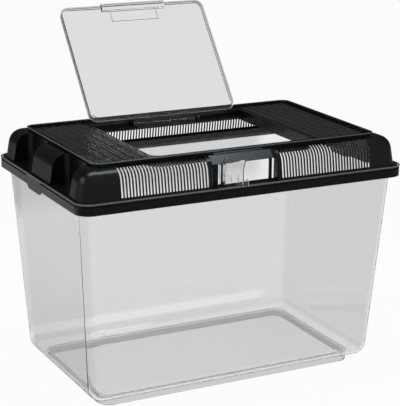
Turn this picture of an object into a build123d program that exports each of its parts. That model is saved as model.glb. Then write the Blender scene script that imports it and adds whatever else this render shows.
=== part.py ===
"""A plastic pet keeper: a clear tapered tank under a black louvred lid.

The lid lifts off upwards. A clear flap on two pins closes the opening in its top, a small
clear latch swings on a bar in the front bay, and a finger clip is hinged in each end of the
flange. Everything is drawn as in the photograph: lid on, flap and latch open.

Millimetres. +Z is up, +X is to the right and -Y is the front. The origin is the middle of
the underside of the foot.
"""

import os
from math import cos, floor, radians, sin, tan

from build123d import *

# --- Lid flange and skirt ---
flange_length = 360.0
flange_width = 225.0
flange_radius = 15.0
flange_thickness = 2.2
skirt_depth = 10.8
skirt_wall = 2.0
bead_height = 3.0
bead_step = 1.2

# --- Tank ---
tank_height = 216.5
tank_wall = 2.2
tank_taper = 13.9
tank_radius = 15.0
tank_rounding = 14.0
rim_width = 4.0
rim_thickness = 2.4
rim_clearance = 0.8
foot_height = 8.0
foot_wall = 2.4
foot_inset = 0.3
seat_clearance = 0.3

# --- Lid dome ---
ledge_width = 3.2
dome_rise = 29.6
dome_draft = 9.5
dome_radius = 20.0
dome_round = 14.4
lid_wall = 1.6
lip_depth = 3.1
lip_clearance = 0.6
cut_over = 1.0

# --- Top plate and its opening ---
plate_length = 313.2
plate_width = 183.2
plate_radius = 9.5
plate_rise = 3.14
neck_inset = 1.6
rim_rise = 2.7
rim_band = 3.5
rim_lip = 1.3
rim_round = 0.4
opening_length = 178.0
opening_radius = 10.0
front_strip = 15.6
collar_depth = 10.8
collar_wall = 2.0

# --- Side bays of the dome ---
side_bay_width = 50.0
side_bay_depth = 20.0
side_bay_radius = 6.0
rib_width = 49.5
rib_offset = -4.2

# --- Louvres ---
louvre_pitch = 3.34
louvre_slot = 2.2
louvre_sill = 1.3
louvre_stop = 2.5
left_margin = 6.5
right_margin = 5.7
left_post = 41.5
right_post = 38.3

# --- Front bay, its window and the latch bars ---
bay_width = 71.0
bay_shift = -3.0
bay_depth = 8.7
bay_round = 3.5
brow_setback = 12.0
brow_drop = 10.8
brow_height = 9.3
notch_pad = 8.0
notch_pad_drop = 1.0
window_left = 30.5
window_right = 32.2
window_height = 20.6
window_sill = 0.8
latch_bar = 25.5
plain_bar = 27.7
bar_radius = 1.7
bar_proud = 1.2

# --- Flap and its hinge ---
flap_angle = 128.5
flap_thickness = 1.6
flap_radius = 9.0
flap_shift = -2.1
flap_side_clearance = 3.4
flap_end_clearance = 3.6
flap_lip_width = 3.0
flap_lip_height = 2.2
tongue_width = 71.8
tongue_reach = 8.0
tongue_bead = 1.1
hinge_setback = 18.4
hinge_drop = 3.84
hinge_pin_radius = 1.5
hinge_pin_length = 3.0
pin_clearance = 0.1
lug_thickness = 3.4
lug_radius = 2.8
lug_clearance = 0.3
stop_clearance = 0.3
well_depth = 6.0
well_floor = 1.4
tab_width = 75.2
tab_length = 7.0
tab_projection = 1.2
tab_height = 5.0
pull_width = 56.0
pull_length = 13.5
pull_setback = 6.0
pull_wall = 1.2
pull_height = 1.5
shelf_width = 60.0
shelf_reach = 7.0

# --- Latch ---
latch_angle = 52.0
latch_length = 23.5
latch_wall = 1.8
latch_height = 25.4
latch_lift = 1.6
latch_overhang = 2.0
latch_step = 1.2
latch_belly = 0.7
latch_foot_bow = 2.8
latch_neck_bow = 1.2
latch_curl = 6.0
latch_curl_height = 6.2
latch_end_clearance = 0.3
latch_mouth = 2.9
ridge_count = 2
ridge_pitch = 7.5
ridge_middle = 14.5
ridge_width = 1.0
ridge_rise = 0.8
ridge_inset = 3.5
catch_reach = 3.4
catch_wall = 1.2
catch_depth = 3.4
catch_height = 7.0

# --- Finger clips in the ends of the flange ---
clip_length = 38.0
clip_offset = 6.4
clip_gap = 0.4
clip_wall = 2.0
clip_reach = 3.0
clip_drop = 3.8
clip_corner = 5.0
clip_bead = 0.8
clip_grip_width = 0.6
clip_grip_height = 0.6
clip_grip_pitch = 1.2

# --- Levels ---
seat_z = tank_height + seat_clearance
ledge_z = seat_z + flange_thickness
skirt_z = ledge_z - skirt_depth
dome_top_z = ledge_z + dome_rise
rim_z = dome_top_z + plate_rise
floor_z = rim_z - rim_rise
lip_z = seat_z - lip_depth

# --- Plans of the lid and the tank ---
dome_length = flange_length - 2 * ledge_width
dome_width = flange_width - 2 * ledge_width
neck_length = plate_length - 2 * neck_inset
neck_width = plate_width - 2 * neck_inset
neck_radius = plate_radius - neck_inset
rim_length = flange_length - 2 * (skirt_wall + rim_clearance)
rim_breadth = flange_width - 2 * (skirt_wall + rim_clearance)
mouth_length = rim_length - 2 * rim_width
mouth_width = rim_breadth - 2 * rim_width
base_length = mouth_length - 2 * tank_taper
base_width = mouth_width - 2 * tank_taper
foot_length = base_length - 2 * (tank_rounding + foot_inset)
foot_width = base_width - 2 * (tank_rounding + foot_inset)
foot_radius = tank_radius - foot_inset
lip_length = mouth_length - 2 * (tank_wall + lip_clearance)
lip_width = mouth_width - 2 * (tank_wall + lip_clearance)
opening_front = front_strip - plate_width / 2

# --- Hinge of the flap: its axis runs along X ---
hinge_y = plate_width / 2 - hinge_setback
hinge_z = floor_z - hinge_drop
well_z = floor_z - well_depth
lean_y = -cos(radians(flap_angle))
lean_z = sin(radians(flap_angle))
flap_back = flap_thickness / 2 + stop_clearance
shelf_z = hinge_z - tab_height - stop_clearance
opening_back = hinge_y + (flap_back + hinge_drop * lean_y) / lean_z
well_front = hinge_y - tongue_reach + stop_clearance
tab_front = opening_front + flap_end_clearance
flap_front = tab_front + tab_projection
flap_length = hinge_y - tongue_reach - flap_front
flap_width = opening_length - 2 * flap_side_clearance

# --- Axis of the latch: it runs along Z ---
bay_y = bay_depth - dome_width / 2
bar_y = bay_y - bar_proud + bar_radius
window_z = ledge_z + window_sill
barrel_bore = bar_radius + pin_clearance
barrel_radius = bar_radius + latch_wall
swing_x = cos(radians(latch_angle))
swing_y = -sin(radians(latch_angle))

# --- Axes of the finger clips: they run along Y ---
clip_axis_x = flange_length / 2 - clip_reach
clip_axis_z = seat_z + flange_thickness / 2


def block(length, width, radius, bottom, top):
    """Return an upright block with rounded corners, centred on the Z axis."""
    with BuildPart() as upright:
        with BuildSketch(Plane.XY.offset(bottom)):
            RectangleRounded(length, width, radius)
        extrude(amount=top - bottom)
    return upright.part


def dome(shrink):
    """Return the dome's solid form, its leaning walls and its top moved inwards by shrink."""
    inset = shrink / cos(radians(dome_draft))
    with BuildPart() as form:
        with BuildSketch(Plane.XY.offset(ledge_z)):
            RectangleRounded(dome_length - 2 * inset, dome_width - 2 * inset, dome_radius - inset)
        extrude(amount=dome_rise - shrink, taper=dome_draft)
        fillet(form.edges().group_by(Axis.Z)[-1], radius=dome_round - shrink)
    return form.part


def side_bays(grow, bottom):
    """Return the four recesses in the dome's ends, widened by grow on their inner faces."""
    inner_x = dome_length / 2 - side_bay_depth - grow
    outer_x = dome_length / 2 + side_bay_radius
    spread = (rib_width + side_bay_width) / 2
    middle_x = (inner_x + outer_x) / 2
    places = [(side * middle_x, rib_offset + end * spread) for side in (-1, 1) for end in (-1, 1)]
    with BuildPart() as bays:
        with BuildSketch(Plane.XY.offset(bottom)):
            with Locations(*places):
                RectangleRounded(outer_x - inner_x, side_bay_width + 2 * grow, side_bay_radius)
        extrude(amount=dome_top_z - bottom)
    return bays.part


def bay_prism(points, width):
    """Return a prism with a side view drawn through points (y, z), centred on the front bay."""
    with BuildPart() as prism:
        with BuildSketch(Plane.YZ.offset(bay_shift - width / 2)):
            with BuildLine():
                Polyline(*points, close=True)
            make_face()
        extrude(amount=width)
    return prism.part


def opening_plan(grow):
    """Draw the top opening in the current sketch: rounded in front, square at the hinge."""
    length = opening_length + 2 * grow
    front = opening_front - grow
    back = opening_back + grow
    with Locations((0, (front + back) / 2)):
        RectangleRounded(length, back - front, opening_radius + grow)
    with Locations((0, back / 2)):
        Rectangle(length, back)


def louvres(start, count, back_y):
    """Return upright blades that cut the slots: count of them from x = start, before back_y."""
    centre_x = start + (count - 1) * louvre_pitch / 2
    bottom = ledge_z + louvre_sill
    with BuildPart() as blades:
        with BuildSketch(Plane.XZ.offset(-back_y)):
            with Locations((centre_x, (bottom + dome_top_z) / 2)):
                with GridLocations(louvre_pitch, 1, count, 1):
                    Rectangle(louvre_slot, dome_top_z - bottom)
        extrude(amount=louvre_reach)
    return blades.part


def latch_point(along, out, height):
    """Return the point on the open latch that far along it, out of its face and up."""
    return (
        -latch_bar + along * swing_x + out * swing_y,
        bar_y + along * swing_y - out * swing_x,
        height,
    )


def leaf_strip(start, end, outline):
    """Return the part of the latch's leaf from start to end along it, with a given side view."""
    with BuildPart() as strip:
        with BuildSketch(
            Plane(
                origin=latch_point(end, 0, leaf_z),
                x_dir=(swing_y, -swing_x, 0),
                z_dir=(-swing_x, -swing_y, 0),
            )
        ):
            add(outline)
        extrude(amount=end - start)
    return strip.part


# ============================== TANK ==============================
with BuildPart() as tank_hollow:
    taper = tank_taper * tank_wall / (tank_height - foot_height)
    with BuildSketch(Plane.XY.offset(foot_height + tank_wall)):
        RectangleRounded(
            base_length - 2 * (tank_wall - taper),
            base_width - 2 * (tank_wall - taper),
            tank_radius - tank_wall,
        )
    with BuildSketch(Plane.XY.offset(tank_height)):
        RectangleRounded(
            mouth_length - 2 * tank_wall,
            mouth_width - 2 * tank_wall,
            tank_radius - tank_wall,
        )
    loft(ruled=True)
    fillet(tank_hollow.edges().group_by(Axis.Z)[0], radius=tank_rounding - tank_wall)

with BuildPart() as tank:
    # The tapered body, its lower edges well rounded.
    with BuildSketch(Plane.XY.offset(foot_height)):
        RectangleRounded(base_length, base_width, tank_radius)
    with BuildSketch(Plane.XY.offset(tank_height)):
        RectangleRounded(mouth_length, mouth_width, tank_radius)
    loft(ruled=True)
    fillet(tank.edges().group_by(Axis.Z)[0], radius=tank_rounding)
    # The rim turns outwards and hides inside the lid's skirt.
    with BuildSketch(Plane.XY.offset(tank_height - rim_thickness)):
        RectangleRounded(rim_length, rim_breadth, flange_radius - skirt_wall)
    extrude(amount=rim_thickness)
    # A plain foot ring under the floor.
    with BuildSketch():
        RectangleRounded(foot_length, foot_width, foot_radius)
        RectangleRounded(
            foot_length - 2 * foot_wall,
            foot_width - 2 * foot_wall,
            foot_radius - foot_wall,
            mode=Mode.SUBTRACT,
        )
    extrude(amount=foot_height + tank_wall / 2)
    add(tank_hollow.part, mode=Mode.SUBTRACT)


# ============================== LID ==============================
# Side views of the front bay as (y, z): its upright wall, then a brow that slopes back to
# a notch in the plate's rim.
bay_front = -flange_width / 2
bay_top = rim_z + cut_over
brow_foot = (bay_y, rim_z - brow_drop)
brow_head = (bay_y + brow_setback, rim_z - brow_drop + brow_height)
brow_crest = (rim_band - plate_width / 2, brow_head[1])
brow_under = (brow_head[0] + lid_wall, dome_top_z - lid_wall)
wall_back = (bay_y + lid_wall, brow_foot[1] - lid_wall / 2)

dome_form = dome(0)
dome_core = dome(lid_wall)
bays_cut = side_bays(0, ledge_z)
bays_wall = side_bays(lid_wall, seat_z)
bay_cut = bay_prism(
    [
        (bay_front, ledge_z),
        (bay_y, ledge_z),
        brow_foot,
        brow_head,
        (brow_head[0], bay_top),
        (bay_front, bay_top),
    ],
    bay_width,
)
bay_wall = bay_prism(
    [
        (bay_front, seat_z),
        (bay_y + lid_wall, seat_z),
        wall_back,
        brow_under,
        (bay_front, brow_under[1]),
    ],
    bay_width + 2 * lid_wall,
)
brow = bay_prism([brow_foot, brow_head, brow_crest, brow_under, wall_back], bay_width)
lip_core = block(
    lip_length - 2 * lid_wall, lip_width - 2 * lid_wall, dome_radius - lid_wall, lip_z, ledge_z
)

with BuildPart() as bay_shoulders:
    # The dome's ends beside the bay are rounded in plan, all the way up its leaning front.
    with BuildSketch(Plane.XY.offset(ledge_z)):
        with Locations((bay_shift, -dome_width / 2)):
            Rectangle(bay_width + 2 * bay_round, 2 * bay_round)
        with Locations((bay_shift, bay_round - dome_width / 2)):
            with GridLocations(bay_width + 2 * bay_round, 1, 2, 1):
                Circle(bay_round, mode=Mode.SUBTRACT)
    extrude(amount=dome_rise, dir=(0, tan(radians(dome_draft)), 1))

with BuildPart() as tray:
    # The top plate is a shallow tray on a neck, its thin rim turned outwards.
    with BuildSketch(Plane.XY.offset(dome_top_z - lid_wall)):
        RectangleRounded(neck_length, neck_width, neck_radius)
    extrude(amount=plate_rise + lid_wall)
    with BuildSketch(Plane.XY.offset(rim_z - rim_lip)):
        RectangleRounded(plate_length, plate_width, plate_radius)
    extrude(amount=rim_lip)
    with BuildSketch(Plane.XY.offset(floor_z)):
        RectangleRounded(
            plate_length - 2 * rim_band,
            plate_width - 2 * rim_band,
            plate_radius - rim_band,
        )
    extrude(amount=rim_rise, mode=Mode.SUBTRACT)
    fillet(tray.edges().group_by(Axis.Z)[-1], radius=rim_round)

with BuildPart() as lid_hollow:
    # The space inside the dome above the ledge, and the way down through the lip.
    add(dome_core)
    add(lip_core)
    add(bays_wall, mode=Mode.SUBTRACT)
    add(bay_wall, mode=Mode.SUBTRACT)

# The louvres are counted from the bay to the wide posts at the dome's corners, and the rear
# ones run right across.
louvre_reach = (dome_width - plate_width) / 2 - louvre_stop + cut_over
left_start = bay_width / 2 - bay_shift + left_margin
right_start = bay_width / 2 + bay_shift + right_margin
left_count = floor((dome_length / 2 - left_post - left_start) / louvre_pitch) + 1
right_count = floor((dome_length / 2 - right_post - right_start) / louvre_pitch) + 1
rear_half = floor((dome_length / 2 - right_post) / louvre_pitch)
front_y = -plate_width / 2 - louvre_stop
rear_y = dome_width / 2 + cut_over
left_blades = louvres(-left_start - (left_count - 1) * louvre_pitch, left_count, front_y)
right_blades = louvres(right_start, right_count, front_y)
rear_blades = louvres(-rear_half * louvre_pitch, 2 * rear_half + 1, rear_y)

with BuildPart() as lid:
    # The flange with its bead, then the skirt around the tank's rim.
    with BuildSketch(Plane.XY.offset(skirt_z)):
        RectangleRounded(flange_length, flange_width, flange_radius)
    extrude(amount=skirt_depth - bead_height)
    with BuildSketch(Plane.XY.offset(ledge_z - bead_height)):
        RectangleRounded(flange_length - 2 * bead_step, flange_width - 2 * bead_step, flange_radius)
    extrude(amount=bead_height)
    fillet(lid.edges().group_by(Axis.Z)[-1], radius=bead_step)
    with BuildSketch(Plane.XY.offset(skirt_z)):
        RectangleRounded(
            flange_length - 2 * skirt_wall,
            flange_width - 2 * skirt_wall,
            flange_radius - skirt_wall,
        )
    extrude(amount=seat_z - skirt_z, mode=Mode.SUBTRACT)
    # The locating lip inside the tank's mouth.
    with BuildSketch(Plane.XY.offset(lip_z)):
        RectangleRounded(lip_length, lip_width, dome_radius)
    extrude(amount=ledge_z - lip_z)
    # The dome with its bays, its hollow, and the top plate.
    add(dome_form)
    add(bays_cut, mode=Mode.SUBTRACT)
    add(bay_cut, mode=Mode.SUBTRACT)
    add(bay_shoulders.part, mode=Mode.SUBTRACT)
    add(lid_hollow.part, mode=Mode.SUBTRACT)
    add(brow)
    add(tray.part)
    # The notch in its rim over the front bay, with a pad at each end.
    with BuildSketch(Plane.XY.offset(brow_head[1])):
        with Locations((bay_shift, -plate_width / 2)):
            Rectangle(bay_width, 2 * rim_band)
    extrude(amount=rim_z - brow_head[1], mode=Mode.SUBTRACT)
    with BuildSketch(Plane.XY.offset(floor_z)):
        with Locations((bay_shift, (rim_band - plate_width) / 2)):
            with GridLocations(bay_width - notch_pad, 1, 2, 1):
                Rectangle(notch_pad, rim_band)
    extrude(amount=rim_rise - notch_pad_drop)
    # The opening with its collar, and the well behind it where the flap is hinged.
    with BuildSketch(Plane.XY.offset(floor_z - collar_depth)):
        opening_plan(collar_wall)
    extrude(amount=collar_depth)
    with BuildSketch(Plane.XY.offset(floor_z - collar_depth)):
        opening_plan(0)
    extrude(amount=collar_depth, mode=Mode.SUBTRACT)
    with BuildSketch(Plane.XY.offset(well_z - well_floor)):
        with Locations((0, (well_front + opening_back + collar_wall) / 2)):
            Rectangle(opening_length + 2 * collar_wall, opening_back + collar_wall - well_front)
    extrude(amount=well_floor)
    # Two lugs in the well carry the flap's pins.
    for lug_x in (-tongue_width / 2 - lug_clearance - lug_thickness, tongue_width / 2 + lug_clearance):
        with BuildSketch(Plane.YZ.offset(flap_shift + lug_x)):
            with Locations((hinge_y, hinge_z)):
                Circle(lug_radius)
            with Locations((hinge_y, (hinge_z + well_z - well_floor) / 2)):
                Rectangle(2 * lug_radius, hinge_z - well_z + well_floor)
        extrude(amount=lug_thickness)
    with BuildSketch(Plane.YZ.offset(flap_shift - tongue_width / 2 - lug_clearance - lug_thickness)):
        with Locations((hinge_y, hinge_z)):
            Circle(hinge_pin_radius + pin_clearance)
    extrude(amount=tongue_width + 2 * (lug_clearance + lug_thickness), mode=Mode.SUBTRACT)
    # The shelf that the shut flap's tab comes down on stands out of the collar's front.
    with BuildSketch(Plane.XY.offset(shelf_z - collar_wall)):
        with Locations((0, opening_front + (shelf_reach - collar_wall) / 2)):
            Rectangle(shelf_width, shelf_reach + collar_wall)
    extrude(amount=collar_wall)
    # The window in the front bay, and the round bar left standing near each of its ends.
    with BuildSketch(Plane.XZ.offset(-bay_y - lid_wall - cut_over)):
        with Locations(((window_right - window_left) / 2, window_z + window_height / 2)):
            Rectangle(window_left + window_right, window_height)
    extrude(amount=lid_wall + 2 * cut_over, mode=Mode.SUBTRACT)
    with BuildSketch(Plane.XY.offset(seat_z)):
        with Locations((-latch_bar, bar_y), (plain_bar, bar_y)):
            Circle(bar_radius)
    extrude(amount=window_z + window_height + window_sill - seat_z)
    # A gap in each end of the flange takes a finger clip, hinged on a grooved edge.
    with BuildSketch(Plane.XY.offset(skirt_z)):
        with Locations((0, clip_offset)):
            with GridLocations(flange_length, 1, 2, 1):
                Rectangle(2 * clip_reach, clip_length + 2 * clip_gap)
    extrude(amount=skirt_depth, mode=Mode.SUBTRACT)
    with BuildSketch(Plane.XZ.offset(-clip_offset - clip_length / 2 - clip_gap)):
        with Locations((0, clip_axis_z)):
            with GridLocations(2 * clip_axis_x, 1, 2, 1):
                Circle(clip_bead + pin_clearance)
    extrude(amount=clip_length + 2 * clip_gap, mode=Mode.SUBTRACT)
    # The louvres' slots, from the ledge up over the dome's shoulder to the plate.
    add(left_blades, mode=Mode.SUBTRACT)
    add(right_blades, mode=Mode.SUBTRACT)
    add(rear_blades, mode=Mode.SUBTRACT)


# ============================== FLAP ==============================
# Drawn on its own plane: +X right, +Y from the hinge to the free edge, +Z out of its underside.
flap_plane = Plane(origin=(flap_shift, hinge_y, hinge_z), x_dir=(1, 0, 0), z_dir=(0, -lean_z, lean_y))

with BuildPart() as flap:
    with BuildSketch(flap_plane.offset(-flap_thickness / 2)):
        with Locations((0, tongue_reach + flap_length / 2)):
            RectangleRounded(flap_width, flap_length, flap_radius)
        with Locations((0, tongue_reach / 2 + flap_radius / 2)):
            Rectangle(tongue_width, tongue_reach + flap_radius)
        with Locations((0, tongue_reach + flap_length + (tab_projection - tab_length) / 2)):
            Rectangle(tab_width, tab_projection + tab_length)
    extrude(amount=flap_thickness)
    # A lip runs round the underside.
    with BuildSketch(flap_plane.offset(flap_thickness / 2)):
        with Locations((0, tongue_reach + flap_length / 2)):
            RectangleRounded(flap_width, flap_length, flap_radius)
            RectangleRounded(
                flap_width - 2 * flap_lip_width,
                flap_length - 2 * flap_lip_width,
                flap_radius - flap_lip_width,
                mode=Mode.SUBTRACT,
            )
    extrude(amount=flap_lip_height)
    # The thick tab in front, and the walls of the finger pull behind it.
    with BuildSketch(flap_plane.offset(flap_thickness / 2)):
        with Locations((0, tongue_reach + flap_length + (tab_projection - tab_length) / 2)):
            Rectangle(tab_width, tab_projection + tab_length)
    extrude(amount=tab_height - flap_thickness / 2)
    with BuildSketch(flap_plane.offset(flap_thickness / 2)):
        with Locations((0, tongue_reach + flap_length - pull_setback - pull_length / 2)):
            Rectangle(pull_width, pull_length)
            Rectangle(pull_width - 2 * pull_wall, pull_length - 2 * pull_wall, mode=Mode.SUBTRACT)
    extrude(amount=pull_height)
    # The bead along the tongue's end, and the pins at its two ends.
    with BuildSketch(Plane.YZ.offset(flap_shift - tongue_width / 2)):
        with Locations((hinge_y, hinge_z)):
            Circle(tongue_bead)
    extrude(amount=tongue_width)
    with BuildSketch(Plane.YZ.offset(flap_shift - tongue_width / 2 - lug_clearance - hinge_pin_length)):
        with Locations((hinge_y, hinge_z)):
            Circle(hinge_pin_radius)
    extrude(amount=tongue_width + 2 * (lug_clearance + hinge_pin_length))


# ============================== LATCH ==============================
# Drawn open. Its leaf stands off a barrel that snaps round the left bar of the window.
barrel_z = window_z + latch_end_clearance
barrel_height = window_height - 2 * latch_end_clearance
leaf_z = ledge_z + latch_lift
latch_plane = Plane(
    origin=(-latch_bar, bar_y, barrel_z), x_dir=(swing_x, swing_y, 0), z_dir=(0, 0, 1)
)
# Side views of the leaf as (out, up), its outer face first.
upright = latch_height - latch_curl_height
belly_out = barrel_radius + latch_belly
foot_face = (belly_out - latch_foot_bow, 0)
belly_face = (belly_out, upright / 2)
neck_face = (belly_out - latch_neck_bow, upright)
curl_face = (neck_face[0] - latch_curl / 6, upright + latch_curl_height / 2)
tip_face = (belly_out - latch_curl, latch_height)
foot_back = (foot_face[0] - latch_wall, 0)
belly_back = (belly_out - latch_wall, upright / 2)
neck_back = (neck_face[0] - latch_wall, upright)
curl_back = (curl_face[0] - latch_wall, curl_face[1] - latch_wall / 2)
tip_back = (tip_face[0] - latch_wall, latch_height - latch_wall / 2)
ridge_foot = (belly_out - latch_neck_bow, ridge_inset)
ridge_top = (belly_out + ridge_rise, upright / 2)
ridge_head = (belly_out - latch_neck_bow, upright - ridge_inset)

with BuildSketch() as leaf_outline:
    with BuildLine():
        ThreePointArc(foot_face, belly_face, neck_face)
        Line(neck_face, neck_back)
        ThreePointArc(neck_back, belly_back, foot_back)
        Line(foot_back, foot_face)
    make_face()

with BuildSketch() as curl_outline:
    with BuildLine():
        ThreePointArc(neck_face, curl_face, tip_face)
        Line(tip_face, tip_back)
        ThreePointArc(tip_back, curl_back, neck_back)
        Line(neck_back, neck_face)
    make_face()

with BuildSketch() as ridge_outline:
    with BuildLine():
        ThreePointArc(ridge_foot, ridge_top, ridge_head)
        Line(ridge_head, ridge_foot)
    make_face()

with BuildPart() as latch:
    with BuildSketch(latch_plane):
        Circle(barrel_radius)
    extrude(amount=barrel_height)
    # The leaf bulges between its foot and its neck, then curls back over the brow.
    add(leaf_strip(-latch_overhang, latch_length, leaf_outline.sketch))
    add(leaf_strip(latch_step, latch_length, curl_outline.sketch))
    # Upright ridges give the thumb a hold.
    for place in range(ridge_count):
        ridge_start = ridge_middle + (place - (ridge_count - 1) / 2) * ridge_pitch - ridge_width / 2
        add(leaf_strip(ridge_start, ridge_start + ridge_width, ridge_outline.sketch))
    # The catch at the free end reaches in through the window when the latch is shut.
    with BuildSketch(latch_plane.offset(leaf_z - barrel_z)):
        with Locations((latch_length + (catch_reach - latch_wall) / 2, (latch_wall - barrel_radius) / 2)):
            Rectangle(catch_reach + latch_wall, latch_wall)
        with Locations(
            (latch_length + catch_reach - catch_wall / 2, (catch_depth - barrel_radius) / 2)
        ):
            Rectangle(catch_wall, catch_depth)
    extrude(amount=catch_height)
    # The barrel's bore, with the mouth that snaps over the bar.
    with BuildSketch(latch_plane):
        Circle(barrel_bore)
        with Locations((0, barrel_radius / 2)):
            Rectangle(latch_mouth, barrel_radius)
    extrude(amount=window_height + cut_over, mode=Mode.SUBTRACT)


# ============================== FINGER CLIPS ==============================
clips = []
clip_front = clip_offset - clip_length / 2
clip_back = clip_offset + clip_length / 2
clip_z = skirt_z - clip_drop
for clip_name, side in (("clip_left", -1), ("clip_right", 1)):
    with BuildPart() as clip:
        # The face fills the gap in the skirt and reaches below it, with sloping corners.
        with BuildSketch(Plane.YZ.offset(side * (flange_length / 2 - clip_wall))):
            with BuildLine():
                Polyline(
                    (clip_front, ledge_z),
                    (clip_back, ledge_z),
                    (clip_back, skirt_z),
                    (clip_back - clip_corner, clip_z),
                    (clip_front + clip_corner, clip_z),
                    (clip_front, skirt_z),
                    close=True,
                )
            make_face()
        extrude(amount=side * clip_wall)
        # Its top lies level with the flange, and carries two gripping ribs.
        with BuildSketch(Plane.XY.offset(seat_z)):
            with Locations((side * (flange_length / 2 - (clip_reach - clip_gap) / 2), clip_offset)):
                Rectangle(clip_reach - clip_gap, clip_length)
        extrude(amount=flange_thickness)
        with BuildSketch(Plane.XY.offset(ledge_z)):
            with Locations((side * (flange_length / 2 - clip_reach / 2), clip_offset)):
                with GridLocations(clip_grip_pitch, 1, 2, 1):
                    Rectangle(clip_grip_width, clip_length - 2 * clip_corner)
        extrude(amount=clip_grip_height)
        # A bead along the inner edge turns in the groove of the flange.
        with BuildSketch(Plane.XZ.offset(-clip_back)):
            with Locations((side * clip_axis_x, clip_axis_z)):
                Circle(clip_bead)
        extrude(amount=clip_length)
    clip.part.label = clip_name
    clips.append(clip.part)


# ============================== EXPORT ==============================
tank.part.label = "tank"
lid.part.label = "lid"
flap.part.label = "flap"
latch.part.label = "latch"

os.makedirs("parts", exist_ok=True)
for piece in (tank.part, lid.part, flap.part, latch.part, *clips):
    export_step(piece, f"parts/{piece.label}.step")
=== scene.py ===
"""Looks of a plastic pet keeper: clear tank, black louvred lid, clear flap and clear latch."""

import logging
import math
from dataclasses import dataclass
from enum import Enum
from typing import Any

import bpy
from mathutils import Matrix, Vector


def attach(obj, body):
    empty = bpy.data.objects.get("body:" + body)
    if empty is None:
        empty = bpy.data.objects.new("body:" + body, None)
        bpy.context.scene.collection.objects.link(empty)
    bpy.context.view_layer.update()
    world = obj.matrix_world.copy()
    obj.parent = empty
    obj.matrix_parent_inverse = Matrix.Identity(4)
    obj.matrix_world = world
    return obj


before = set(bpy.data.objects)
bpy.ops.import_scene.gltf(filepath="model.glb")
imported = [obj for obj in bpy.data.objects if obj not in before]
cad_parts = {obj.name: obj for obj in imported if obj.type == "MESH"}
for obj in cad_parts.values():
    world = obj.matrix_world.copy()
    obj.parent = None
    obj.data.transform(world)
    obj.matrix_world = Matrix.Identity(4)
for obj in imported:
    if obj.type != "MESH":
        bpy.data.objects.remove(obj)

log = logging.getLogger("pet_keeper")

Colour = tuple[float, float, float]

ZONE_TOP = 0.22
# Painted light up the tank's back wall, as height and share of the tint: the lighter band from about 21.5
# to 28 mm is a painted highlight, and the darker top from 175 mm up is painted shade under the lid.
TANK_PAINTED_LIGHT_ZONES = (
    (0.000, 1.00),
    (0.018, 0.97),
    (0.0215, 1.15),
    (0.028, 1.15),
    (0.031, 1.00),
    (0.150, 1.00),
    (0.175, 0.77),
    (0.216, 0.77),
)


class ShotRay(Enum):
    """The kinds of ray that see the studio's white backdrop."""

    CAMERA = "Is Camera Ray"
    GLOSSY = "Is Glossy Ray"
    TRANSMISSION = "Is Transmission Ray"


class Value:
    """A shader value that is worked with in plain arithmetic."""

    def __init__(self, tree: "NodeSheet", socket: bpy.types.NodeSocket) -> None:
        """Wrap one output socket of a node sheet."""
        self.tree = tree
        self.socket = socket

    def _math(self, operation: str, first: Any, second: Any = 0.0) -> "Value":
        """Add one Math node.

        Args:
            operation: The Math node's operation.
            first: Its first value.
            second: Its second value.

        Returns:
            The node's result.
        """
        return self.tree.node("ShaderNodeMath", {"operation": operation}, {0: first, 1: second})

    def __add__(self, other: Any) -> "Value":
        """Return this value plus the other."""
        return self._math("ADD", self, other)

    def __radd__(self, other: Any) -> "Value":
        """Return the other plus this value."""
        return self._math("ADD", other, self)

    def __sub__(self, other: Any) -> "Value":
        """Return this value less the other."""
        return self._math("SUBTRACT", self, other)

    def __rsub__(self, other: Any) -> "Value":
        """Return the other less this value."""
        return self._math("SUBTRACT", other, self)

    def __mul__(self, other: Any) -> "Value":
        """Return this value times the other."""
        return self._math("MULTIPLY", self, other)

    def __rmul__(self, other: Any) -> "Value":
        """Return the other times this value."""
        return self._math("MULTIPLY", other, self)

    def at_most(self, other: Any) -> "Value":
        """Return the lesser of the two."""
        return self._math("MINIMUM", self, other)

    def above(self, other: Any) -> "Value":
        """Return 1 where this value is above the other, and 0 elsewhere."""
        return self._math("GREATER_THAN", self, other)


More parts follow.
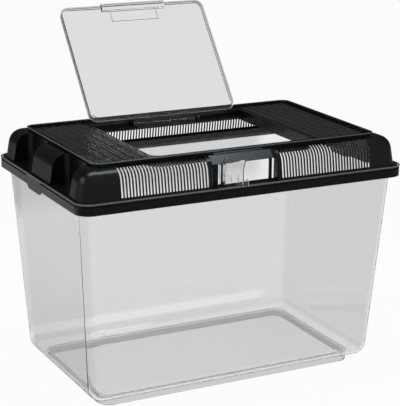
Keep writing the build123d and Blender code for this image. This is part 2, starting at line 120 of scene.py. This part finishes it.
class NodeSheet:
    """The node tree of one material or of the world."""

    def __init__(self, owner: Any, output: str) -> None:
        """Empty the owner's node tree and give it one output node.

        Args:
            owner: The material or world.
            output: The type of its output node.
        """
        owner.use_nodes = True
        self.nodes = owner.node_tree.nodes
        self.links = owner.node_tree.links
        self.nodes.clear()
        self.output = self.nodes.new(output)

    def add(self, kind: str, settings: dict[str, Any], inputs: dict[Any, Any]) -> bpy.types.Node:
        """Add a node, set its settings, then its sockets.

        Args:
            kind: The node's type.
            settings: Its attributes.
            inputs: A value or a link for each named or numbered socket.

        Returns:
            The node.
        """
        node = self.nodes.new(kind)
        for name, setting in settings.items():
            setattr(node, name, setting)
        for name, given in inputs.items():
            if isinstance(given, Value):
                self.links.new(given.socket, node.inputs[name])
            elif isinstance(given, bpy.types.NodeSocket):
                self.links.new(given, node.inputs[name])
            else:
                node.inputs[name].default_value = given
        return node

    def node(
        self, kind: str, settings: dict[str, Any], inputs: dict[Any, Any], out: Any = 0
    ) -> Value:
        """Add a node and return one of its outputs.

        Args:
            kind: The node's type.
            settings: Its attributes.
            inputs: A value or a link for each named or numbered socket.
            out: The output's name or number.

        Returns:
            The output, ready for arithmetic.
        """
        return Value(self, self.add(kind, settings, inputs).outputs[out])

    def surface(self, shader: Value) -> None:
        """Link a shader to the output."""
        self.links.new(shader.socket, self.output.inputs["Surface"])

    def ray(self, *kinds: ShotRay) -> Value:
        """Return 1 for the named kinds of ray, and 0 for the rest.

        Args:
            kinds: The kinds of ray.

        Returns:
            The sum of their flags, at most 1.
        """
        path = self.add("ShaderNodeLightPath", {}, {})
        flags = [Value(self, path.outputs[kind.value]) for kind in kinds]
        total = flags[0]
        for flag in flags[1:]:
            total = total + flag
        return total.at_most(1.0)

    def grain(self, scale: float, detail: float = 2.0, roughness: float = 0.5) -> Value:
        """Return a noise pattern fixed to the object.

        Args:
            scale: Waves per metre.
            detail: The noise's octaves.
            roughness: The weight of the finer octaves.

        Returns:
            The pattern, from about 0.25 to 0.75.
        """
        place = self.node("ShaderNodeTexCoord", {}, {}, "Object")
        return self.node(
            "ShaderNodeTexNoise",
            {},
            {"Vector": place, "Scale": scale, "Detail": detail, "Roughness": roughness},
        )

    def blend(self, given: Value, start: float, end: float) -> Value:
        """Return a smooth step from 0 at the start to 1 at the end.

        Args:
            given: The value that is followed.
            start: Where the step starts.
            end: Where it ends.

        Returns:
            The step.
        """
        return self.node(
            "ShaderNodeMapRange",
            {"interpolation_type": "SMOOTHSTEP"},
            {"Value": given, "From Min": start, "From Max": end},
        )

    def bump(self, height: Value, strength: float, distance: float) -> Value:
        """Return a surface normal raised by a height.

        Args:
            height: The height pattern.
            strength: How much of it shows.
            distance: What a height of 1 stands for, in metres.

        Returns:
            The normal.
        """
        return self.node(
            "ShaderNodeBump", {}, {"Height": height, "Strength": strength, "Distance": distance}
        )


@dataclass(frozen=True)
class BlackPlastic:
    """Semi-gloss black moulded plastic, with the fine grain of its mould."""

    name: str
    colour: Colour = (0.0035, 0.0042, 0.0056)
    gloss: Colour = (0.86, 0.95, 1.0)
    roughness: float = 0.27
    specular: float = 0.5
    grain: float = 0.02

    def material(self) -> bpy.types.Material:
        """Return the finish as a material."""
        made = bpy.data.materials.new(self.name)
        sheet = NodeSheet(made, "ShaderNodeOutputMaterial")
        cloud = sheet.grain(35.0, 3.0)
        fine = sheet.grain(2600.0, 2.0)
        rough = self.roughness + (cloud - 0.5) * 0.10 + (fine - 0.5) * 0.06
        shader = sheet.node(
            "ShaderNodeBsdfPrincipled",
            {},
            {
                "Base Color": (*self.colour, 1.0),
                "Roughness": rough,
                "Specular IOR Level": self.specular,
                "Specular Tint": (*self.gloss, 1.0),
                "Normal": sheet.bump(fine, self.grain, 0.0004),
            },
        )
        sheet.surface(shader)
        return made


@dataclass(frozen=True)
class ClearPlastic:
    """Clear moulded plastic, faintly grey, that lets lamps through.

    A moulding may be darker on the faces that look along X.
    """

    name: str
    tint: Colour = (0.82, 0.83, 0.83)
    ends: float = 1.0
    # Painted highlight and painted shade up the back wall, as height and share of the tint.
    zones: tuple[tuple[float, float], ...] = ()
    foot: float = 1.0
    # Painted light: how much lighter the flat floor's tint is.
    flat: float = 1.16
    index: float = 1.45
    roughness: float = 0.03
    ripple: float = 0.02

    def material(self) -> bpy.types.Material:
        """Return the finish as a material."""
        made = bpy.data.materials.new(self.name)
        sheet = NodeSheet(made, "ShaderNodeOutputMaterial")
        flow = sheet.grain(22.0, 2.0)
        rough = self.roughness + (flow - 0.5) * 0.02
        facing = sheet.node("ShaderNodeNewGeometry", {}, {}, "Normal")
        along = sheet.node("ShaderNodeSeparateXYZ", {}, {"Vector": facing}, "X")
        ended = sheet.node(
            "ShaderNodeMapRange",
            {"interpolation_type": "SMOOTHSTEP"},
            {"Value": along * along, "From Min": 0.2, "From Max": 0.8},
        )
        darker = tuple(part * self.ends for part in self.tint)
        tinted = sheet.node(
            "ShaderNodeMix",
            {"data_type": "RGBA"},
            {0: ended, 6: (*self.tint, 1.0), 7: (*darker, 1.0)},
            2,
        )
        if self.zones:
            tinted = self.zoned(sheet, tinted)
        glass = sheet.node(
            "ShaderNodeBsdfPrincipled",
            {},
            {
                "Base Color": tinted,
                "Roughness": rough,
                "IOR": self.index,
                "Transmission Weight": 1.0,
                "Normal": sheet.bump(flow, self.ripple, 0.002),
            },
        )
        passing = tuple(math.sqrt(part) for part in self.tint)
        through = sheet.node("ShaderNodeBsdfTransparent", {}, {"Color": (*passing, 1.0)})
        path = sheet.add("ShaderNodeLightPath", {}, {})
        shadow = Value(sheet, path.outputs["Is Shadow Ray"])
        sheet.surface(sheet.node("ShaderNodeMixShader", {}, {0: shadow, 1: glass, 2: through}))
        return made

    def zoned(self, sheet: NodeSheet, tinted: Value) -> Value:
        """Paint light and shade into the tint: a highlight band and shade under the lid up the back wall,
        and painted light on the flat floor; and darken the foot.

        Args:
            sheet: The material's nodes.
            tinted: The plain tint.

        Returns:
            The tint with its zones.
        """
        place = sheet.node("ShaderNodeTexCoord", {}, {}, "Object")
        spread = sheet.add("ShaderNodeSeparateXYZ", {}, {"Vector": place})
        height = Value(sheet, spread.outputs["Z"])
        across, depth = (Value(sheet, spread.outputs[axis]) for axis in "XY")
        # Painted light on the back wall: its tint follows the zones, a painted highlight band low down and
        # painted shade under the lid at the top.
        behind = sheet.blend(depth, 0.062, 0.074) * sheet.blend(across, 0.14, 0.12)
        ramp = sheet.add("ShaderNodeValToRGB", {}, {"Fac": height * (1.0 / ZONE_TOP)})
        stops = ramp.color_ramp.elements
        while len(stops) < len(self.zones):
            stops.new(0.5)
        for stop, (level, share) in zip(stops, self.zones):
            stop.position = level / ZONE_TOP
            stop.color = (*(part * share for part in self.tint), 1.0)
        walled = sheet.node(
            "ShaderNodeMix",
            {"data_type": "RGBA"},
            {0: behind, 6: tinted, 7: Value(sheet, ramp.outputs["Color"])},
            2,
        )
        low = sheet.node(
            "ShaderNodeMapRange",
            {},
            {"Value": height, "From Min": 0.0068, "From Max": 0.0062},
        )
        footed = tuple(part * self.foot for part in self.tint)
        # Painted light: the flat floor's tint is lighter.
        flat = sheet.blend(height, 0.0112, 0.0106)
        bright = tuple(part * self.flat for part in self.tint)
        floored = sheet.node(
            "ShaderNodeMix", {"data_type": "RGBA"}, {0: flat, 6: walled, 7: (*bright, 1.0)}, 2
        )
        return sheet.node(
            "ShaderNodeMix", {"data_type": "RGBA"}, {0: low, 6: floored, 7: (*footed, 1.0)}, 2
        )


def dress(piece: bpy.types.Object, material: bpy.types.Material) -> None:
    """Give every slot of a piece one material.

    Args:
        piece: The object.
        material: Its new material.
    """
    if not piece.material_slots:
        piece.data.materials.append(material)
    for slot in piece.material_slots:
        slot.material = material


def solid_bar(name: str, low: Colour, high: Colour, softness: float) -> bpy.types.Object:
    """Model a bar between two corners, its upper edges softened.

    Args:
        name: The bar's name.
        low: Its lowest corner.
        high: Its highest corner.
        softness: The width of the bevel along its upper edges.

    Returns:
        The bar, its place in its mesh.
    """
    bpy.ops.object.select_all(action="DESELECT")
    middle = [(a + b) / 2 for a, b in zip(low, high)]
    bpy.ops.mesh.primitive_cube_add(size=1.0, location=middle)
    bar = bpy.context.object
    bar.name = name
    bar.scale = [b - a for a, b in zip(low, high)]
    bpy.ops.object.transform_apply(location=True, rotation=False, scale=True)
    bpy.ops.object.mode_set(mode="EDIT")
    bpy.ops.mesh.select_all(action="DESELECT")
    bpy.ops.object.mode_set(mode="OBJECT")
    points = bar.data.vertices
    for edge in bar.data.edges:
        edge.select = all(points[corner].co.z > middle[2] for corner in edge.vertices)
    bpy.ops.object.mode_set(mode="EDIT")
    bpy.ops.mesh.select_mode(type="EDGE")
    bpy.ops.mesh.bevel(offset=softness, segments=1)
    bpy.ops.object.mode_set(mode="OBJECT")
    return bar


def repeat(piece: bpy.types.Object, count: int, step: Colour) -> None:
    """Copy a piece's shape along a line, inside its own mesh.

    Args:
        piece: The piece.
        count: How many there are in all.
        step: From one to the next.
    """
    row = piece.modifiers.new("row", "ARRAY")
    row.use_relative_offset = False
    row.use_constant_offset = True
    row.constant_offset_displace = step
    row.count = count
    bpy.context.view_layer.objects.active = piece
    bpy.ops.object.modifier_apply(modifier=row.name)


def ring(
    name: str, centre: Colour, half: tuple[float, float], corner: float, radius: float, lean: float = 0.0
) -> bpy.types.Object:
    """Model a thin round bead along a rounded rectangle.

    Args:
        name: The bead's name.
        centre: The rectangle's centre.
        half: Half its length and half its width.
        corner: The radius of its corners.
        radius: The bead's radius.
        lean: How far the rectangle is turned about X, in radians.

    Returns:
        The bead, its place in its mesh.
    """
    bpy.ops.object.select_all(action="DESELECT")
    bpy.ops.mesh.primitive_plane_add(size=2.0, location=(0.0, 0.0, 0.0))
    bead = bpy.context.object
    bead.name = name
    bead.scale = (*half, 1.0)
    bpy.ops.object.transform_apply(location=False, rotation=False, scale=True)
    bpy.ops.object.mode_set(mode="EDIT")
    bpy.ops.mesh.select_all(action="SELECT")
    bpy.ops.mesh.bevel(offset=corner, segments=10, affect="VERTICES")
    bpy.ops.mesh.delete(type="ONLY_FACE")
    bpy.ops.object.mode_set(mode="OBJECT")
    bpy.ops.object.convert(target="CURVE")
    bead.data.dimensions = "3D"
    bead.data.fill_mode = "FULL"
    bead.data.bevel_depth = radius
    bead.data.bevel_resolution = 2
    bpy.ops.object.convert(target="MESH")
    bead.location = centre
    bead.rotation_euler = (lean, 0.0, 0.0)
    bpy.ops.object.transform_apply(location=True, rotation=True, scale=False)
    bpy.ops.object.shade_smooth()
    return bead


def joined(name: str, pieces: list[bpy.types.Object]) -> bpy.types.Object:
    """Join pieces into one.

    Args:
        name: The new piece's name.
        pieces: The pieces.

    Returns:
        The new piece.
    """
    bpy.ops.object.select_all(action="DESELECT")
    for piece in pieces:
        piece.select_set(True)
    bpy.context.view_layer.objects.active = pieces[0]
    bpy.ops.object.join()
    whole = bpy.context.object
    whole.name = name
    return whole


def fit(piece: bpy.types.Object, body: str, finish: bpy.types.Material) -> None:
    """Let a finished piece ride on a body, and dress it.

    Args:
        piece: The piece.
        body: The body that carries it.
        finish: Its material.
    """
    dress(piece, finish)
    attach(piece, body)
    log.info("%s: %d faces, on %s", piece.name, len(piece.data.polygons), body)


@dataclass
class PanelRibs:
    """The fine moulded ribs on the two panels beside the opening."""

    inner: float = 0.0935
    outer: float = 0.1515
    front: float = -0.0850
    back: float = 0.0855
    floor: float = 0.24904
    sunk: float = 0.0003
    tall: float = 0.0006
    fine: float = 0.0003
    cross: float = 0.00015
    pitch: float = 0.0099
    cross_pitch: float = 0.0048
    ground: float = 0.00005

    def build(self) -> None:
        """Model both panels' ribs and their grained ground."""
        # The ribs' grey colour is a painted highlight: they are the same black plastic, lighter where their
        # edges would catch the light.
        pale = BlackPlastic("ribs_painted_highlight", colour=(0.06, 0.066, 0.07), roughness=0.4).material()
        finish = BlackPlastic("black_panel", roughness=0.2, specular=0.3).material()
        for side, name in ((-1.0, "left_panel"), (1.0, "right_panel")):
            fit(self.ribs(side, f"{name}_ribs"), "lid", pale)
            fit(self.cross_ribs(side, f"{name}_grain"), "lid", finish)

    def ribs(self, side: float, name: str) -> bpy.types.Object:
        """Model one panel's ribs along its depth.

        Args:
            side: -1 for the left panel, 1 for the right one.
            name: The piece's name.

        Returns:
            The ribs, joined.
        """
        rows = 6
        start = min(side * self.inner, side * self.outer) + 0.0035
        tall = self.rib(start, 0.0008, self.tall)
        repeat(tall, rows, (self.pitch, 0.0, 0.0))
        near = self.rib(start + self.pitch / 3, 0.0006, self.fine)
        repeat(near, rows - 1, (self.pitch, 0.0, 0.0))
        far = self.rib(start + self.pitch * 2 / 3, 0.0006, self.fine)
        repeat(far, rows - 1, (self.pitch, 0.0, 0.0))
        return joined(name, [tall, near, far])

    def cross_ribs(self, side: float, name: str) -> bpy.types.Object:
        """Model one panel's ground, with the low ribs along its length.

        Args:
            side: -1 for the left panel, 1 for the right one.
            name: The piece's name.

        Returns:
            The ribs.
        """
        low = (min(side * self.inner, side * self.outer), self.front, self.floor - self.sunk)
        high = (max(side * self.inner, side * self.outer), self.front + 0.0008, self.floor + self.cross)
        across = solid_bar(name, low, high, 0.0001)
        count = int((self.back - self.front) / self.cross_pitch)
        repeat(across, count, (0.0, self.cross_pitch, 0.0))
        high = (high[0], self.back, self.floor + self.ground)
        ground = solid_bar("ground", (low[0], low[1], low[2] - self.ground), high, self.ground / 4)
        return joined(name, [across, ground])

    def rib(self, x: float, width: float, height: float) -> bpy.types.Object:
        """Model one rib along the panel's depth.

        Args:
            x: Its middle.
            width: Its width.
            height: How far it stands up.

        Returns:
            The rib.
        """
        low = (x - width / 2, self.front, self.floor - self.sunk)
        high = (x + width / 2, self.back, self.floor + height)
        return solid_bar("rib", low, high, width / 4)


@dataclass
class EdgeBeads:
    """Rounded beads along the lid's and the flap's edges; the lid's grey beads are painted highlights, and
    the dark bead inside the flap's edge is a painted shade line.
    """

    flange: tuple[float, float] = (0.1797, 0.1122)
    flange_level: float = 0.2187
    rim: tuple[float, float] = (0.1564, 0.0914)
    rim_level: float = 0.25155
    hinge: tuple[float, float] = (0.0732, 0.2452)
    lean: float = math.radians(180.0 - 128.5)
    flap_middle: float = 0.0762
    flap: tuple[float, float] = (0.0858, 0.0684)
    flap_shift: float = -0.0021

    def build(self) -> None:
        """Model the beads."""
        # The lid's beads are grey: painted highlights along the flange's and the rim's edges.
        edge = BlackPlastic("bead_painted_highlight", colour=(0.16, 0.17, 0.18), roughness=0.3).material()
        for name, half, level, corner, radius in (
            ("flange_painted_highlight", self.flange, self.flange_level, 0.0147, 0.0009),
            ("rim_painted_highlight", self.rim, self.rim_level, 0.0093, 0.0005),
        ):
            fit(ring(name, (0.0, 0.0, level), half, corner, radius), "lid", edge)
        clear = ClearPlastic("clear_edge", tint=(0.8, 0.805, 0.81)).material()
        # The dark clear bead inside the flap's edge is a painted shade line along it.
        painted_shade = ClearPlastic("clear_edge_painted_shade", tint=(0.22, 0.23, 0.24)).material()
        fit(self.on_flap("flap_edge", 0.0, 0.0, 0.0011), "flap", clear)
        fit(self.on_flap("flap_painted_shade_line", 0.0013, 0.0008, 0.00045), "flap", painted_shade)

    def on_flap(self, name: str, inset: float, proud: float, radius: float) -> bpy.types.Object:
        """Model a bead along the flap's edge.

        Args:
            name: The bead's name.
            inset: How far it lies inside the flap's edge.
            proud: How far it lies before the flap's middle plane.
            radius: The bead's radius.

        Returns:
            The bead.
        """
        along = (math.cos(self.lean), math.sin(self.lean))
        centre = (
            self.flap_shift,
            self.hinge[0] + self.flap_middle * along[0] - proud * along[1],
            self.hinge[1] + self.flap_middle * along[1] + proud * along[0],
        )
        half = (self.flap[0] - inset, self.flap[1] - inset)
        return ring(name, centre, half, 0.009 - inset, radius, self.lean)


@dataclass
class Studio:
    """A white studio: floor, lamps, world and camera."""

    focal: float = 1470.4
    picture: tuple[int, int] = (400, 406)
    azimuth: float = 27.235
    elevation: float = 15.774
    roll: float = 0.479
    place: Colour = (-0.6756, -1.3161, 0.5903)
    fill: float = 0.3
    mirrored: float = 0.055
    mirrored_low: float = 0.19
    mirrored_left: float = 0.34
    mirrored_front: float = 0.3
    sky_starts: float = 0.12
    shown: float = 0.955

    def build(self) -> None:
        """Make the floor, the world, the lamps and the camera."""
        self.floor()
        self.world()
        self.lamp("overhead", (-0.02, -0.09, 1.5), (-0.02, -0.09, 0.2), (1.34, 0.36), 9.0)
        self.lamp("side", (-1.9, 0.2, 0.9), (0.0, 0.0, 0.2), (1.0, 1.0), 5.0)
        self.camera()

    def floor(self) -> None:
        """Lay a white floor that keeps the keeper's soft shadow.

        Gloss on the keeper shows a floor that is pale behind it and dark in front of it.
        """
        bpy.ops.object.select_all(action="DESELECT")
        bpy.ops.mesh.primitive_plane_add(size=12.0, location=(0.0, 0.0, 0.0))
        floor = bpy.context.object
        floor.name = "floor"
        made = bpy.data.materials.new("floor_white")
        sheet = NodeSheet(made, "ShaderNodeOutputMaterial")
        matt = sheet.node("ShaderNodeBsdfDiffuse", {}, {"Color": (0.9, 0.9, 0.9, 1.0)})
        glow = sheet.node("ShaderNodeEmission", {}, {"Color": (1.0, 1.0, 1.0, 1.0)})
        place = sheet.node("ShaderNodeTexCoord", {}, {}, "Object")
        spread = sheet.add("ShaderNodeSeparateXYZ", {}, {"Vector": place})
        across, depth = (Value(sheet, spread.outputs[axis]) for axis in "XY")
        left = sheet.blend(across, -0.1, -0.35)
        near = sheet.blend(depth, 1.5, 0.9)
        back = sheet.blend(depth, -0.1, 0.35)
        pale = self.mirrored_low + left * near * back * self.mirrored_left
        sheen = sheet.node("ShaderNodeEmission", {}, {"Color": pale})
        seen = sheet.ray(ShotRay.CAMERA, ShotRay.TRANSMISSION)
        mirrored = sheet.ray(ShotRay.GLOSSY)
        unseen = sheet.node("ShaderNodeMixShader", {}, {0: mirrored, 1: matt, 2: sheen})
        shadowed = sheet.node("ShaderNodeMixShader", {}, {0: self.shown, 1: matt, 2: glow})
        sheet.surface(sheet.node("ShaderNodeMixShader", {}, {0: seen, 1: unseen, 2: shadowed}))
        dress(floor, made)

    def world(self) -> None:
        """Light the studio softly all round, white where the camera sees it."""
        world = bpy.data.worlds.new("studio")
        bpy.context.scene.world = world
        sheet = NodeSheet(world, "ShaderNodeOutputWorld")
        heading = sheet.node("ShaderNodeTexCoord", {}, {}, "Generated")
        spread = sheet.add("ShaderNodeSeparateXYZ", {}, {"Vector": heading})
        depth, rise = (Value(sheet, spread.outputs[axis]) for axis in "YZ")
        white = sheet.node("ShaderNodeBackground", {}, {"Color": (1.0, 1.0, 1.0, 1.0)})
        dim = sheet.node(
            "ShaderNodeBackground", {}, {"Color": (1.0, 1.0, 1.0, 1.0), "Strength": self.fill}
        )
        tone = self.mirrored + sheet.blend(depth, 0.2, -0.8) * (self.mirrored_front - self.mirrored)
        grey = sheet.node("ShaderNodeBackground", {}, {"Color": tone})
        low = sheet.blend(rise, self.sky_starts + 0.1, self.sky_starts)
        seen = (sheet.ray(ShotRay.CAMERA) + sheet.ray(ShotRay.TRANSMISSION) * low).at_most(1.0)
        mirrored = sheet.ray(ShotRay.GLOSSY)
        unseen = sheet.node("ShaderNodeMixShader", {}, {0: mirrored, 1: dim, 2: grey})
        sheet.surface(sheet.node("ShaderNodeMixShader", {}, {0: seen, 1: unseen, 2: white}))

    def lamp(
        self, name: str, place: Colour, target: Colour, size: tuple[float, float], power: float
    ) -> None:
        """Hang a soft lamp.

        Args:
            name: The lamp's name.
            place: Where it hangs.
            target: The point it faces.
            size: Its length and width.
            power: Its power in watts.
        """
        light = bpy.data.lights.new(name, "AREA")
        light.shape = "RECTANGLE"
        light.size, light.size_y = size
        light.energy = power
        hung = bpy.data.objects.new(name, light)
        bpy.context.collection.objects.link(hung)
        facing = Vector(target) - Vector(place)
        hung.matrix_world = Matrix.Translation(place) @ facing.to_track_quat("-Z", "Y").to_matrix().to_4x4()

    def camera(self) -> None:
        """Set the camera at the picture's angle."""
        data = bpy.data.cameras.new("camera")
        data.sensor_fit = "HORIZONTAL"
        data.sensor_width = 36.0
        data.lens = self.focal / self.picture[0] * data.sensor_width
        data.clip_end = 50.0
        camera = bpy.data.objects.new("camera", data)
        bpy.context.collection.objects.link(camera)
        turn = (
            Matrix.Rotation(-math.radians(self.azimuth), 4, "Z")
            @ Matrix.Rotation(math.radians(90.0 - self.elevation), 4, "X")
            @ Matrix.Rotation(math.radians(self.roll), 4, "Z")
        )
        camera.matrix_world = Matrix.Translation(self.place) @ turn
        bpy.context.scene.camera = camera


def main() -> None:
    """Dress the keeper and set up the studio."""
    logging.basicConfig(level=logging.INFO)
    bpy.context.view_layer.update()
    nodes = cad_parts
    tank = ClearPlastic("clear_tank", (0.845, 0.847, 0.85), 0.9, TANK_PAINTED_LIGHT_ZONES, 0.74)
    dress(nodes["tank"], tank.material())
    dress(nodes["flap"], ClearPlastic("clear_flap", tint=(0.79, 0.795, 0.8)).material())
    dress(nodes["latch"], ClearPlastic("clear_latch", tint=(0.85, 0.86, 0.87)).material())
    black = BlackPlastic("black_lid").material()
    for name in ("lid", "clip_left", "clip_right"):
        dress(nodes[name], black)
    PanelRibs().build()
    EdgeBeads().build()
    Studio().build()
    bpy.context.scene.view_settings.view_transform = "Standard"


if __name__ == "__main__":
    main()
